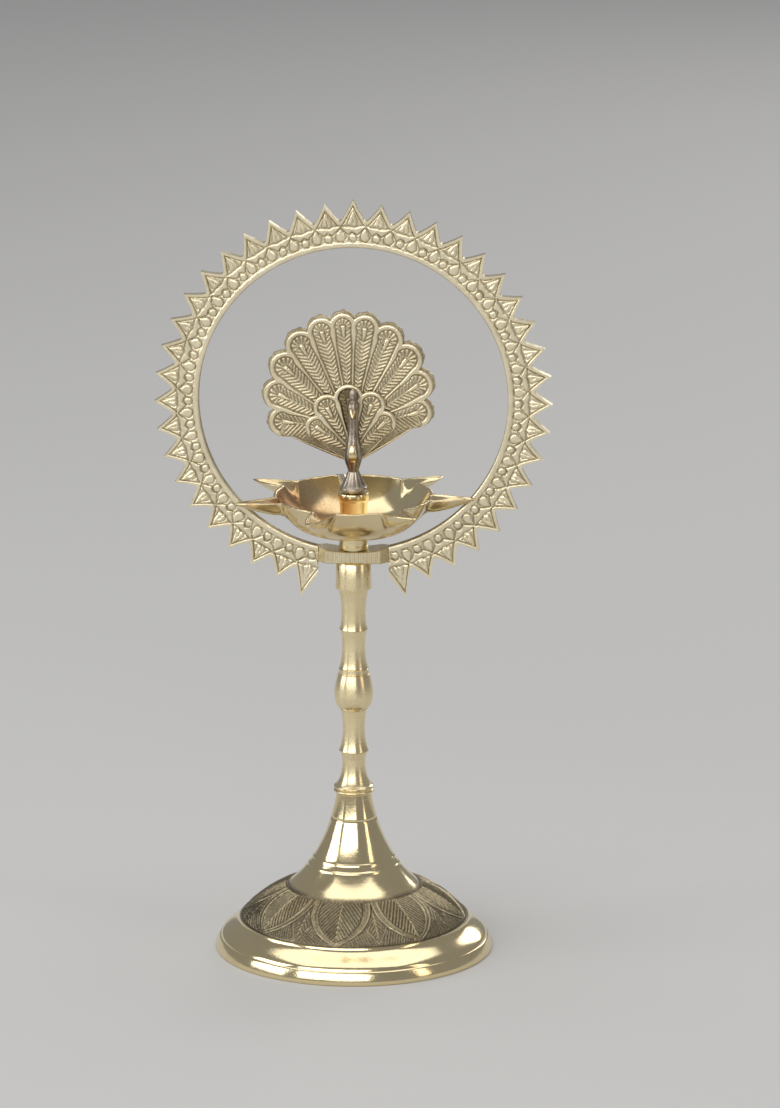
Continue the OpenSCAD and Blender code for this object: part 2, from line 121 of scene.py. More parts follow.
def bow_at(shares, a, b, c):
    """Points at these shares of the way along a bow from a to c, pulled towards b: a quadratic curve."""
    t = shares[:, None]
    return np.array(a) * (1 - t) ** 2 + np.array(b) * 2 * t * (1 - t) + np.array(c) * t ** 2


def bow(a, b, c, count):
    """The same bow as count points at even shares."""
    return bow_at(np.linspace(0, 1, count), a, b, c)


def hump(x, place, width):
    """A bell-shaped rise of height 1 at place, with that width."""
    return np.exp(-((x - place) / width) ** 2)


def ease(x, start, end):
    """0 before start, 1 after end and a smooth S between them."""
    t = np.clip((x - start) / (end - start), 0, 1)
    return t * t * (3 - 2 * t)


def combed(x, pitch, sharpness=1.0):
    """Ridges of height 1, one to each pitch of x: a raised cosine, to the power sharpness."""
    return (0.5 + 0.5 * np.cos(2 * np.pi * x / pitch)) ** sharpness


def skin(name, points, material, around=True, loop=False, caps=False, sharp=38, **marks):
    """A mesh over the grid points[row, column] in millimetres, one quad to a cell. around closes the
    columns on themselves, loop the rows, and caps fills the two end columns. Each mark is one number
    per point, kept as an attribute that the material reads."""
    rows, columns = points.shape[:2]
    row = np.arange(rows if loop else rows - 1)[:, None]
    column = np.arange(columns if around else columns - 1)[None, :]
    next_row, next_column = (row + 1) % rows, (column + 1) % columns
    quads = np.stack([row * columns + column, row * columns + next_column,
                      next_row * columns + next_column, next_row * columns + column], -1).reshape(-1, 4)
    corners, starts = quads.ravel(), np.arange(0, quads.size, 4)
    if caps:
        first = np.arange(rows) * columns
        last = first[::-1] + columns - 1
        starts = np.concatenate([starts, [quads.size, quads.size + rows]])
        corners = np.concatenate([corners, first, last])
    mesh = bpy.data.meshes.new(name)
    mesh.vertices.add(rows * columns)
    mesh.vertices.foreach_set("co", (points * mm).astype(np.float32).ravel())
    mesh.loops.add(len(corners))
    mesh.loops.foreach_set("vertex_index", corners.astype(np.int32))
    mesh.polygons.add(len(starts))
    mesh.polygons.foreach_set("loop_start", starts.astype(np.int32))
    for mark, values in marks.items():
        layer = mesh.attributes.new(mark, "FLOAT", "POINT")
        layer.data.foreach_set("value", np.broadcast_to(values, (rows, columns)).astype(np.float32).ravel())
    mesh.update(calc_edges=True)
    shape = bmesh.new()
    shape.from_mesh(mesh)
    bmesh.ops.remove_doubles(shape, verts=shape.verts, dist=1e-6)
    bmesh.ops.dissolve_degenerate(shape, edges=shape.edges, dist=1e-7)
    shape.to_mesh(mesh)
    shape.free()
    mesh.polygons.foreach_set("use_smooth", np.ones(len(mesh.polygons), bool))
    mesh.set_sharp_from_angle(angle=math.radians(sharp))
    piece = bpy.data.objects.new(name, mesh)
    bpy.context.scene.collection.objects.link(piece)
    piece.data.materials.append(material)
    return piece


def turned_points(outline, columns):
    """The outline's (radius, height) pairs carried once round the axis: a grid of points."""
    outline = np.asarray(outline, float)
    angle = np.linspace(0, 2 * np.pi, columns, endpoint=False)
    radius, height = outline[:, :1], outline[:, 1:]
    return np.stack([radius * np.cos(angle), radius * np.sin(angle), height + 0 * angle], -1)


def length_along(outline):
    """The distance covered along an outline, at each of its points."""
    steps = np.linalg.norm(np.diff(np.asarray(outline, float), axis=0), axis=1)
    return np.concatenate([[0], np.cumsum(steps)])[:, None]


def node(tree, kind, settings=(), **sockets):
    """A new shader node. settings are its own properties; a socket gets a number or another's output."""
    made = tree.nodes.new("ShaderNode" + kind)
    for key, value in dict(settings).items():
        setattr(made, key, value)
    for key, value in sockets.items():
        socket = made.inputs[int(key[1:]) if key[0] == "_" else key.replace("_", " ")]
        if isinstance(value, bpy.types.NodeSocket):
            tree.links.new(value, socket)
        else:
            socket.default_value = value
    return made


# The mark "high" darkens hollows as patina; on the inside of the dish and on the middle covert feather it
# also carries painted light: a painted reflection there, and a painted shade here.
def brass(name, bright, dark, polish, dull, lines=0.0, grain=0.15, stain=0.35, patch=130.0, marked=True,
          brushed=0.0):
    """Brass that runs from dark in its grooves to bright on its high places, as the mark "high" says,
    with roughness from dull to polish. lines is the strength of the lathe lines, which cross the mark
    "along"; brushed draws the reflections out upwards, as turning does; grain is the strength of the
    casting's skin, and stain says how far soft blotches darken it; patch is how fine they are.
    Brass that is not marked is clean all over but for its stains."""
    speck_scale, smudge_scale, line_scale = 1300.0, 420.0, 5.0
    speck_share, smudge_rough = 0.5, 0.12
    skin_depth, line_depth = 0.12 * mm, 0.05 * mm
    material = bpy.data.materials.new(name)
    material.use_nodes = True
    tree = material.node_tree
    shader = tree.nodes["Principled BSDF"]
    shader.inputs["Metallic"].default_value = 1.0
    place = node(tree, "TexCoord").outputs["Object"]
    blotch = node(tree, "TexNoise", Vector=place, Scale=patch, Detail=3.0, Roughness=0.6).outputs["Fac"]
    speck = node(tree, "TexNoise", Vector=place, Scale=speck_scale, Detail=2.0).outputs["Fac"]
    cloud = node(tree, "MapRange", Value=blotch, From_Min=0.35, From_Max=0.68, To_Min=0.0, To_Max=stain)
    clean = 1.0
    if marked:
        high = node(tree, "Attribute", {"attribute_name": "high"}).outputs["Fac"]
        uneven = node(tree, "Math", {"operation": "MULTIPLY_ADD"}, _0=speck, _1=speck_share,
                      _2=-speck_share / 2)
        edge = node(tree, "Math", {"operation": "ADD"}, _0=high, _1=uneven.outputs[0])
        clean = node(tree, "MapRange", Value=edge.outputs[0], From_Min=0.05, From_Max=0.95).outputs["Result"]
    left = node(tree, "Math", {"operation": "SUBTRACT", "use_clamp": True}, _0=clean,
                _1=cloud.outputs["Result"]).outputs[0]
    colour = node(tree, "Mix", {"data_type": "RGBA"}, _0=left, _6=(*dark, 1), _7=(*bright, 1)).outputs[2]
    tree.links.new(colour, shader.inputs["Base Color"])
    smudge = node(tree, "TexNoise", Vector=place, Scale=smudge_scale, Detail=4.0).outputs["Fac"]
    rough = node(tree, "MapRange", Value=left, From_Min=0.0, From_Max=1.0, To_Min=dull, To_Max=polish)
    rough = node(tree, "Math", {"operation": "MULTIPLY_ADD"}, _0=smudge, _1=smudge_rough,
                 _2=rough.outputs["Result"])
    rough = node(tree, "Math", {"operation": "SUBTRACT"}, _0=rough.outputs[0], _1=smudge_rough / 2)
    tree.links.new(rough.outputs[0], shader.inputs["Roughness"])
    if brushed:
        shader.inputs["Anisotropic"].default_value = brushed
        tree.links.new(node(tree, "CombineXYZ", Z=1.0).outputs[0], shader.inputs["Tangent"])
    skin_bump = node(tree, "Bump", Strength=grain, Distance=skin_depth, Height=speck)
    if lines:
        along = node(tree, "Attribute", {"attribute_name": "along"}).outputs["Fac"]
        across = node(tree, "CombineXYZ", X=along)
        ring = node(tree, "TexNoise", Vector=across.outputs[0], Scale=line_scale, Detail=3.0, Roughness=0.7)
        skin_bump = node(tree, "Bump", Strength=1.0, Distance=line_depth * lines, Height=ring.outputs["Fac"],
                         Normal=skin_bump.outputs["Normal"])
    tree.links.new(skin_bump.outputs["Normal"], shader.inputs["Normal"])
    return material


def fit(piece, body, slot_name, *nodes):
    """A finished piece moves with its body and stands for these nodes. slot_name is not used."""
    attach(piece, body)
    if nodes:
        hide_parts(*nodes)
    return piece


foot_r, foot_h = corner("foot_shell", 1)[0], top("foot_shell")
rim_h, rim_lean = 4.4, 1.6
slope_w, slope_h = 6.1, 6.1
band_w, band_h, band_drop = 16.1, 11.2, 3.6
neck_r, foot_wall, boss_h, nut_room_r, tail_hole_r = 5.7, 1.7, 16, 9, 2.55
band_low = np.array([foot_r - rim_lean - slope_w, rim_h + slope_h])
band_top = band_low + [-band_w, band_h]
band_pull = np.array([(band_low[0] + band_top[0]) / 2 + 1.4, band_top[1] - band_drop])
foot_columns = 600
leaves = 8
leaf_turn = math.radians(-96.5)
foot_brass = brass("foot_brass", (0.90, 0.76, 0.46), (0.15, 0.125, 0.085), 0.12, 0.42, lines=0.2, stain=0.05,
                   brushed=0.5)


def leaf_relief(angle, run, radius, length):
    """Height of the engraving at an angle round the foot and a run out from the band's inner border.
    Eight large leaves hang from that border with their tips on the outer one: each has a smooth double
    rim along its curved sides, a midrib, and barbs that open towards the tip. Between their tips stand
    eight small leaves, on a ground of nearly upright strokes."""
    edge_w, edge_h, line_w, line_h = 2.3, 0.17, 0.27, 0.25
    barb_pitch, stroke_pitch, ground_pitch, comb = 1.9, 1.7, 0.95, 1.3
    barb_h, midrib_h, small_h, ground_h, border_h = 0.36, 0.42, 0.28, 0.28, 0.30
    small_w, small_start = 5.6, 0.25
    pitch = 2 * np.pi / leaves
    share = run / length
    offset = radius * ((angle - leaf_turn + pitch / 2) % pitch - pitch / 2)
    half = radius * pitch / 2 * (1 - share ** 2.3).clip(0, 1) ** 0.85
    inside = (half - abs(offset)) * 0.85
    edge = edge_h * ease(inside, -0.1, 0.25) * (1 - ease(inside, edge_w - 0.25, edge_w))
    edge = edge + line_h * hump(inside, 0.3, line_w) + line_h * hump(inside, edge_w - 0.35, line_w)
    barbs = combed(run - 1.55 * abs(offset), barb_pitch, comb)
    blade = np.maximum(barb_h * barbs, midrib_h * hump(offset, 0, 0.32))
    leaf = edge + ease(inside, edge_w + 0.1, edge_w + 0.5) * blade
    between = radius * ((angle - leaf_turn) % pitch - pitch / 2)
    small_half = small_w * (1 - ((share - small_start) / (1 - small_start)).clip(0, 1) ** 1.8)
    small_in = (small_half - abs(between)) * 0.8
    strokes = combed(run - 1.5 * abs(between), stroke_pitch, comb)
    ground = combed(abs(between) + 0.3 * run, ground_pitch, comb)
    small_blade = np.maximum(small_h * strokes, (small_h + 0.06) * hump(between, 0, 0.3))
    small = border_h * hump(small_in, 0.35, 0.26) + ease(small_in, 0.7, 1.0) * small_blade
    small = small + (1 - ease(small_in, -0.3, 0)) * ground_h * ground
    height = np.where(inside > 0, leaf, small * ease(-inside, 0.1, 0.5))
    fade = ease(run, 0.5, 1.0) * (1 - ease(run, length - 0.5, length - 0.1))
    return height * fade + border_h * hump(run, 0.3, 0.28)


# The casting's outline runs from the rim's foot up over the outside and back down the inside.
rim_part = np.array([[foot_r - 0.6, 0], [foot_r - 0.15, 0.15], [foot_r, 0.6], [foot_r - 0.05, 1.6],
                     [foot_r - rim_lean + 0.5, rim_h - 0.5], [foot_r - rim_lean + 0.3, rim_h - 0.15],
                     [foot_r - rim_lean, rim_h]])
slope_rise = np.linspace(0, 1, 14)[1:, None]
slope_part = np.hstack([rim_part[-1, 0] - slope_w * ease(slope_rise, 0, 1) - 0.05,
                        rim_h + 0.1 + (slope_h - 0.1) * slope_rise])
band_rows_count = 66
band_part = bow(band_low + [-0.4, 0.4], band_pull, band_top, band_rows_count)
bell_pull = np.array([neck_r + 3.7, (band_top[1] + foot_h) / 2 - 5])
bell_shares = np.unique(np.concatenate([  # closer together where the ridges and the groove are
    np.linspace(0.02, 1, 22), np.linspace(0.26, 0.42, 20), np.linspace(0.74, 0.86, 12)]))
bell_part = bow_at(bell_shares, band_top + [-0.6, 0.3], bell_pull, [neck_r, foot_h])
low_ridge_z, high_ridge_z, groove_z = 28.8, 31.1, 44.3
ridge_h, ridge_w, groove_d, groove_w = 0.14, 0.26, 0.18, 0.22
bell_part[:, 0] += (ridge_h * hump(bell_part[:, 1], low_ridge_z, ridge_w)
                    + ridge_h * hump(bell_part[:, 1], high_ridge_z, ridge_w)
                    - groove_d * hump(bell_part[:, 1], groove_z, groove_w))
under_high = band_top - foot_wall
under_part = np.vstack([
    [[neck_r - 0.3, foot_h], [tail_hole_r, foot_h], [tail_hole_r, foot_h - boss_h],
     [nut_room_r, foot_h - boss_h]],
    bow([nut_room_r, foot_h - boss_h], [nut_room_r + 3.5, (under_high[1] + foot_h - boss_h) / 2 - 1],
        under_high, 8)[1:],
    bow(under_high, band_pull - foot_wall, band_low - foot_wall, 8)[1:],
    [[foot_r - rim_lean - foot_wall, rim_h - foot_wall], [foot_r - rim_lean - foot_wall, 0]]])
foot_outline = np.vstack([rim_part, slope_part, band_part, bell_part, under_part])
foot_points = turned_points(foot_outline, foot_columns)

# The band's rows are then pushed out or in along its own normal, by the height of the engraving.
foot_angle = np.linspace(0, 2 * np.pi, foot_columns, endpoint=False)[None, :]
band_start = len(rim_part) + len(slope_part)
band_rows = slice(band_start, band_start + len(band_part))
band_run = length_along(band_part[::-1])[::-1]
foot_relief = leaf_relief(foot_angle, band_run, band_part[:, :1], band_run[0, 0])
band_slope = np.gradient(band_part, axis=0)
band_out = np.stack([band_slope[:, 1], -band_slope[:, 0]], -1)
band_out = band_out / np.linalg.norm(band_out, axis=1, keepdims=True)
engraving_depth = 0.45
lift = foot_relief - engraving_depth
foot_points[band_rows, :, 0] += lift * band_out[:, :1] * np.cos(foot_angle)
foot_points[band_rows, :, 1] += lift * band_out[:, :1] * np.sin(foot_angle)
foot_points[band_rows, :, 2] += lift * band_out[:, 1:]
bore_points, dull_inside = 4, 0.3
foot_high = np.ones(foot_points.shape[:2])
foot_high[band_rows] = 0.05 + 0.95 * foot_relief
foot_high[-len(under_part) + bore_points:] = dull_inside
foot = skin("foot", foot_points, foot_brass, loop=True, high=foot_high, along=length_along(foot_outline))
fit(foot, "stand", "polished_brass", "foot_shell")

# Washer and nut under the foot ------------------------------
# Plain brass, as machined, out of sight inside the bell: they pull the stem's tail tight.
# They keep the CAD shapes, and so do the studs and the rivet further up.
plain_brass = brass("plain_brass", (0.72, 0.59, 0.36), (0.22, 0.16, 0.09), 0.34, 0.5, marked=False)


def finish_cad(name):
    """A CAD node that keeps its shape gets machined brass on every slot."""
    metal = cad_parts[name].data.materials
    for place in range(len(metal)):
        metal[place] = plain_brass


for hidden in ("foot_washer", "foot_nut", "centre_stud", "finial_stud", "tail_rivet"):
    finish_cad(hidden)

# Stem ------------------------------
# Six lathe-turned brass sections. Each has a spigot below that screws into the blind socket of the one
# under it; the lowest ends in the long tail through the foot, and the head takes the centre stud.
stem_brass = brass("stem_brass", (0.93, 0.80, 0.50), (0.50, 0.34, 0.15), 0.25, 0.40, lines=0.5, stain=0.16,
                   marked=False, brushed=0.74)
waist_r, collar_r, knop_r, head_r = 3.7, 6.8, 6.4, 5.75
spigot_r, spigot_l, play, end_gap = 1.9, 5, 0.05, 0.4
stem_columns = 144


def section(name, outline, seat, spigot, socket):
    """A stem section: its outline of (radius, height) above the height of its seat, closed by a spigot
    below and a blind socket above, each given as (radius, length), and carried round the axis."""
    outline = np.asarray(outline, float) + [0, seat]
    chamfer = 0.14
    outline = np.vstack([outline[0] - [chamfer, 0], outline[0] + [0, chamfer], outline[1:-1],
                         outline[-1] - [0, chamfer], outline[-1] - [chamfer, 0]])
    low, high = outline[0, 1], outline[-1, 1]
    below = [[0, low - spigot[1]], [spigot[0] - 0.2, low - spigot[1]], [spigot[0], low - spigot[1] + 0.2],
             [spigot[0], low]]
    above = [[socket[0], high], [socket[0], high - socket[1]], [0, high - socket[1]]]
    whole = np.vstack([below, outline, above])
    piece = skin(name + "_turned", turned_points(whole, stem_columns), stem_brass, along=length_along(whole))
    return fit(piece, "stand", "polished_brass", name)


tail_r = 2.5
plain_spigot = (spigot_r, spigot_l)
plain_socket = (spigot_r + play, spigot_l + end_gap)
lower_h = top("lower_baluster") - foot_h
low_waist = waist_r + 0.05
lower_outline = np.vstack([
    [[neck_r - 0.1, 0], [neck_r + 0.15, 0.2], [neck_r + 0.2, 0.5]],
    bow([collar_r - 0.75, 0.5], [collar_r + 0.5, 1.15], [collar_r - 0.75, 1.8], 12),
    bow([collar_r - 0.75, 1.9], [collar_r + 0.4, 2.5], [collar_r - 0.8, 3.1], 12),
    bow([collar_r - 0.95, 3.2], [low_waist + 0.4, 5.4], [low_waist, 9.6], 20),
    [[low_waist + 0.03, lower_h - 2.6]],
    bow([low_waist + 0.05, lower_h - 2.5], [waist_r + 0.4, lower_h - 1.4], [waist_r + 0.7, lower_h], 9)])
tail_l = foot_h - corner("lower_baluster", 0)[2]
section("lower_baluster", lower_outline, foot_h, (tail_r, tail_l), plain_socket)

mid_h = top("mid_baluster") - top("lower_baluster")
mid_outline = np.vstack([
    [[waist_r + 1.05, 0], [waist_r + 1.2, 0.1], [waist_r + 1.2, 0.25]],
    bow([waist_r + 1.1, 0.4], [waist_r, 3.2], [waist_r - 0.1, mid_h / 2], 20),
    bow([waist_r - 0.1, mid_h / 2 + 0.2], [waist_r - 0.1, mid_h - 3.6], [waist_r + 0.6, mid_h], 20)])
section("mid_baluster", mid_outline, top("lower_baluster"), plain_spigot, plain_socket)

knop_h = top("knop") - top("mid_baluster")
knop_band, knop_belly = 2, 3.9
knop_outline = np.vstack([
    bow([waist_r + 0.7, 0], [waist_r + 1.1, 0.25], [waist_r + 0.7, 0.5], 7),
    bow([waist_r + 1.2, 0.6], [knop_r - 0.25, 1.5], [knop_r, knop_belly + 0.8], 16),
    bow([knop_r, knop_belly + 0.9], [knop_r, 8], [waist_r + 1.4, knop_h - knop_band], 24),
    [[waist_r + 1.05, knop_h - knop_band + 0.15], [waist_r + 1.3, knop_h - knop_band + 0.3],
     [waist_r + 1.25, knop_h - knop_band + 0.5], [waist_r + 1.15, knop_h - 0.3], [waist_r + 1, knop_h]]])
section("knop", knop_outline, top("mid_baluster"), plain_spigot, plain_socket)

upper_h = top("upper_baluster") - top("knop")
upper_outline = np.vstack([
    bow([waist_r + 1.1, 0], [waist_r + 0.3, 2.2], [waist_r + 0.1, upper_h / 2], 18),
    [[waist_r + 0.15, upper_h - 2.6]],
    bow([waist_r + 0.2, upper_h - 2.4], [waist_r + 0.45, upper_h - 1.4], [waist_r + 0.7, upper_h], 9)])
section("upper_baluster", upper_outline, top("knop"), plain_spigot, plain_socket)

top_h = top("top_baluster") - top("upper_baluster")
top_outline = np.vstack([
    [[waist_r + 0.85, 0], [waist_r + 0.95, 0.1]],
    bow([waist_r + 0.9, 0.2], [waist_r + 0.3, 1.8], [waist_r + 0.25, 5.6], 14),
    bow([waist_r + 0.25, 5.8], [waist_r + 0.3, top_h - 4], [waist_r + 1.3, top_h], 20)])
section("top_baluster", top_outline, top("upper_baluster"), plain_spigot, plain_socket)

head_h = top("head_socket") - top("top_baluster")
stud_low = corner("centre_stud", 0)[2]
head_outline = np.array([[head_r, 0], [head_r + 0.15, 0.1], [head_r + 0.2, 0.35], [head_r + 0.05, 2.2],
                         [head_r, 3.4], [head_r - 0.05, head_h - 0.35], [head_r - 0.2, head_h]])
stud_hole_r = 2.55
section("head_socket", head_outline, top("top_baluster"), plain_spigot,
        (stud_hole_r, top("head_socket") - stud_low + end_gap))

# Halo ------------------------------
# One flat brass casting: a ring of sun rays with beads, scallops and a drop in every ray cast on its
# front, and a plain bar across the bottom that is clamped on the centre stud between head and neck.
halo_brass = brass("halo_brass", (0.96, 0.86, 0.62), (0.30, 0.25, 0.14), 0.32, 0.5, grain=0.5, stain=0.2)
ring_in_r, ring_w, ring_t = 50.0, 8.8, 3.0
rays, ray_l, lug_arc = 41, 5.6, 21.0
lug_w, lug_face_w, lug_d, lug_h = 23.0, 17.8, 9.4, 3.8
ring_out_r = ring_in_r + ring_w
lug_low = top("head_socket") + play
ring_z = lug_low + lug_h + ring_in_r
ray_step = (360 - lug_arc) / rays
last_ray = (rays - 1) / 2


def ray_number(angle_deg):
    """The ray that lies nearest to an angle from the top, counted from 0 at the top ray."""
    return np.clip(np.round(angle_deg / ray_step), -last_ray, last_ray)


def ray_outline(angle_deg):
    """Outer radius of the halo at an angle from its top: each ray has two flanks that curve in to its
    point, and a short round valley lies between rays. The top ray and the two lowest are longer."""
    number = ray_number(angle_deg)
    tall = np.where(number == 0, 1.2, np.where(abs(number) == last_ray, 1.6, 1.0)) * ray_l
    off = abs(angle_deg - number * ray_step) / (ray_step / 2)
    t = ((1 - np.sqrt((1 - 0.4 * (0.9 - off)).clip(0, 1))) / 0.2).clip(0, 1)
    return ring_out_r + tall * (0.84 * t * (1 - t) + t * t)


def halo_relief(radius, angle_deg, outer):
    """Height of the casting's front: a smooth inner rim, a row of beads, large and pointed under each
    valley and small under each ray, a scalloped groove over them, a smooth waisted band, a groove
    across each ray's base, and in the ray a raised border round a flame that is split at its foot.
    Every ray is a little off its true place, as a hand-cut pattern is."""
    lip_w, lip_h, groove_d, groove_w = 1.9, 0.16, 0.34, 0.24
    large_at, large_w, large_l, small_at, small_r = 3.9, 1.45, 1.75, 3.3, 1.15
    bead_h, outline_d, flame_h = 0.16, 0.22, 0.20
    number = ray_number(angle_deg)
    spot = number * 2.4 + radius * 0.9
    side = np.radians(angle_deg - number * ray_step) * radius
    side = side + 0.10 * np.sin(spot) + 0.06 * np.sin(2.7 * spot)
    run = radius - ring_in_r + 0.10 * np.sin(number * 5.3 + side * 1.7) + 0.05 * np.sin(angle_deg * 3.1)
    pitch = np.radians(ray_step) * radius
    from_valley = abs(pitch / 2 - abs(side))
    large_wide = large_w * (1 - ((run - 3.7) / 2.6).clip(0, 1) ** 1.5)
    large = (from_valley / (large_wide + 0.02)) ** 2 + ((run - large_at) / large_l).clip(-2, 0) ** 2
    large = np.where(run > 6.2, 9, large)
    small = (side / small_r) ** 2 + ((run - small_at) / small_r) ** 2
    bead = np.minimum(np.sqrt(large), np.sqrt(small))
    scallop = np.maximum(np.maximum(6.75 - 1.05 * from_valley, 5.0 - 0.45 * side ** 2), 4.2)
    base = 7.05 - 0.25 * np.cos(2 * np.pi * side / pitch)
    h = 0.26 + lip_h * (1 - ease(run, lip_w - 0.4, lip_w + 0.2)) - 0.10 * hump(run, lip_w + 0.05, 0.25)
    h = h - 0.25 * (1 - ease(radius, ring_in_r, ring_in_r + 0.5))
    beaded = (run < scallop) * (run > lip_w)
    h = h + beaded * (bead_h * np.sqrt((1 - bead ** 2).clip(0)) - outline_d * hump(bead, 1.12, 0.16) - 0.05)
    h = h - groove_d * hump(run, scallop, groove_w)
    h = h - groove_d * hump(run, base, groove_w - 0.02) * (from_valley > 0.2)
    flank = (outer - radius) * 0.56
    flame_wide = 1.5 * (1 - ((run - base - 0.9) / 4.4).clip(0, 1)) ** 0.8
    flame = (side / (flame_wide + 0.02)) ** 2 + ((run - base - 1.2) / 0.95).clip(-2, 0) ** 2
    split = hump(side, 0, 0.17) * ease(run, base + 0.2, base + 0.6) * (1 - ease(run, base + 2.2, base + 3.2))
    in_ray = flame_h * (np.sqrt((1 - flame).clip(0)) - hump(np.sqrt(flame), 1.15, 0.2)) - 0.32 * split
    in_ray = in_ray * (flank > 0.95) - 0.30 * hump(flank, 1.05, 0.2)
    return h + ease(run, base + 0.1, base + 0.3) * in_ray + 0.06 * (flank < 0.9) * (run > base)


# The columns of the ring's grid: the last one on each side stands at the bar's end.
cut = lug_w / 2
end_angle = 180 - math.degrees(math.asin(cut / (ring_out_r + 0.4)))
per_step = 32
steps = np.arange(-(rays * per_step) // 2, (rays * per_step) // 2 + 1) / per_step * ray_step
steps = steps[abs(steps) < end_angle - 0.05]
ring_angle = np.unique(np.concatenate([steps, [-end_angle, end_angle]]))[None, :]
outer_r = ray_outline(ring_angle)


def ring_place(radius):
    """Points at that radius on every column. The columns are radial, except that near the bar they
    bend until the last one on each side is a straight cut beside the bar."""
    from_bottom = 180 - abs(ring_angle)
    upright = np.degrees(np.arcsin(cut / radius) - np.arcsin(cut / outer_r))
    near = 1 - ease(from_bottom, 180 - end_angle, 180 - end_angle + 14)
    bent = 180 - (from_bottom + near * upright)
    return np.sign(ring_angle) * bent


# Rows run outwards over the front and back in over the flat rear face, whose edges are eased.
front_share = np.linspace(0, 1, 50)[:, None]
front_r = ring_in_r + (outer_r - ring_in_r) * front_share
front_angle = ring_place(front_r)
front_h = halo_relief(front_r, front_angle, outer_r)
front_y = np.minimum(-ring_t / 2 - front_h, -ring_t / 2 + 0.1)
back_share = np.array([1, 0.97, 0.75, 0.5, 0.25, 0.03, 0])[:, None]
back_r = ring_in_r + (outer_r - ring_in_r) * back_share
back_edge = (back_share == 1) | (back_share == 0)
back_y = np.where(back_edge, ring_t / 2 - 0.25, ring_t / 2) + 0 * back_r
ring_r = np.vstack([front_r, back_r])
ring_y = np.vstack([front_y, back_y])
ring_a = np.radians(np.vstack([front_angle, ring_place(back_r)]))
ring_points = np.stack([ring_r * np.sin(ring_a), ring_y, ring_z + ring_r * np.cos(ring_a)], -1)
ring_high = np.vstack([0.36 + 2.1 * front_h.clip(-0.1, 0.4), 0.75 + 0 * back_r])
ring_high[0] = 0.2
ring_high[-1] = 0.3
sun_ring = skin("sun_ring", ring_points, halo_brass, around=False, loop=True, caps=True, high=ring_high)
fit(sun_ring, "halo", "satin_brass", "halo_ring")

# The bar is filed flat in front, with upright file marks, and its top follows the ring's window.
bar_brass = brass("bar_brass", (0.94, 0.84, 0.58), (0.46, 0.35, 0.18), 0.26, 0.4, lines=2.6, grain=0.3,
                  stain=0.2)
bar_x = np.concatenate([[-cut - 0.3, -cut], np.linspace(-lug_face_w / 2 - 0.05, lug_face_w / 2 + 0.05, 121),
                        [cut, cut + 0.3]])[None, :]
bar_depth = np.where(abs(bar_x) > lug_face_w / 2 + 0.2, ring_t / 2, lug_d / 2)
bar_top = ring_z - np.sqrt(ring_in_r ** 2 - bar_x ** 2)
bar_low = lug_low + 0 * bar_x
bevel, top_in, low_in = 0.25, 1.6, 2.4
bar_around = [  # front or back, how far in from the face, at the top or not, and how far up from there
    (-1, bevel, 0, 0), (-1, 0, 0, bevel), (-1, 0, 1, -bevel), (-1, bevel, 1, 0),
    (-1, top_in, 1, 0), (1, top_in, 1, 0), (1, bevel, 1, 0), (1, 0, 1, -bevel), (1, 0, 0, bevel),
    (1, bevel, 0, 0), (1, low_in, 0, 0), (-1, low_in, 0, 0)]
bar_points = np.stack([np.stack([bar_x, way * (bar_depth - np.minimum(pull, bar_depth * 0.9)),
                                 np.where(up, bar_top, bar_low) + shift], -1)[0]
                       for way, pull, up, shift in bar_around])
bar_high = 0.76 + 0.14 * np.sin(9.1 * bar_x) + 0.12 * np.sin(5.7 * bar_x + 1) * np.sin(1.3 * bar_x)
cross_bar = skin("cross_bar", bar_points[::-1], bar_brass, around=False, loop=True, caps=True, sharp=25,
                 along=0.3 * bar_points[::-1, :, 0], high=bar_high)
fit(cross_bar, "halo", "satin_brass", "halo_ring")

# Neck, dish and spool nut ------------------------------
# A short turned tube lifts the dish clear of the halo. The dish is a thin cast bowl with seven beaked
# channels for the wicks, and the spool nut in its middle screws it down on the centre stud.
dish_brass = brass("dish_brass", (0.89, 0.76, 0.47), (0.46, 0.25, 0.10), 0.13, 0.26, grain=0.1, stain=0.4,
                   patch=42.0)
neck_low, dish_low = corner("dish_neck", 0)[2], corner("oil_dish", 0)[2]
neck_under_r = 4.7
neck_outline = np.array([
    [stud_hole_r, neck_low], [neck_under_r - 0.2, neck_low], [neck_under_r, neck_low + 0.3],
    [neck_under_r, neck_low + 1.2], [neck_under_r - 0.15, neck_low + 1.35], [neck_under_r, neck_low + 1.5],
    [neck_under_r, dish_low - 0.6], [neck_under_r + 0.1, dish_low - 0.1], [neck_under_r + 0.05, dish_low],
    [stud_hole_r, dish_low]])
neck = skin("dish_neck_tube", turned_points(neck_outline, stem_columns), stem_brass, loop=True,
            along=length_along(neck_outline))
fit(neck, "stand", "polished_brass", "dish_neck")

dish_rim_z = top("oil_dish")
dish_h = dish_rim_z - dish_low
dish_r, dish_wall, spouts, spout_l, spout_w, spout_d = 26.0, 1.3, 7, 14.2, 8.4, 4.6
spout_turn = math.radians(-6.13)
floor_r = 8.0


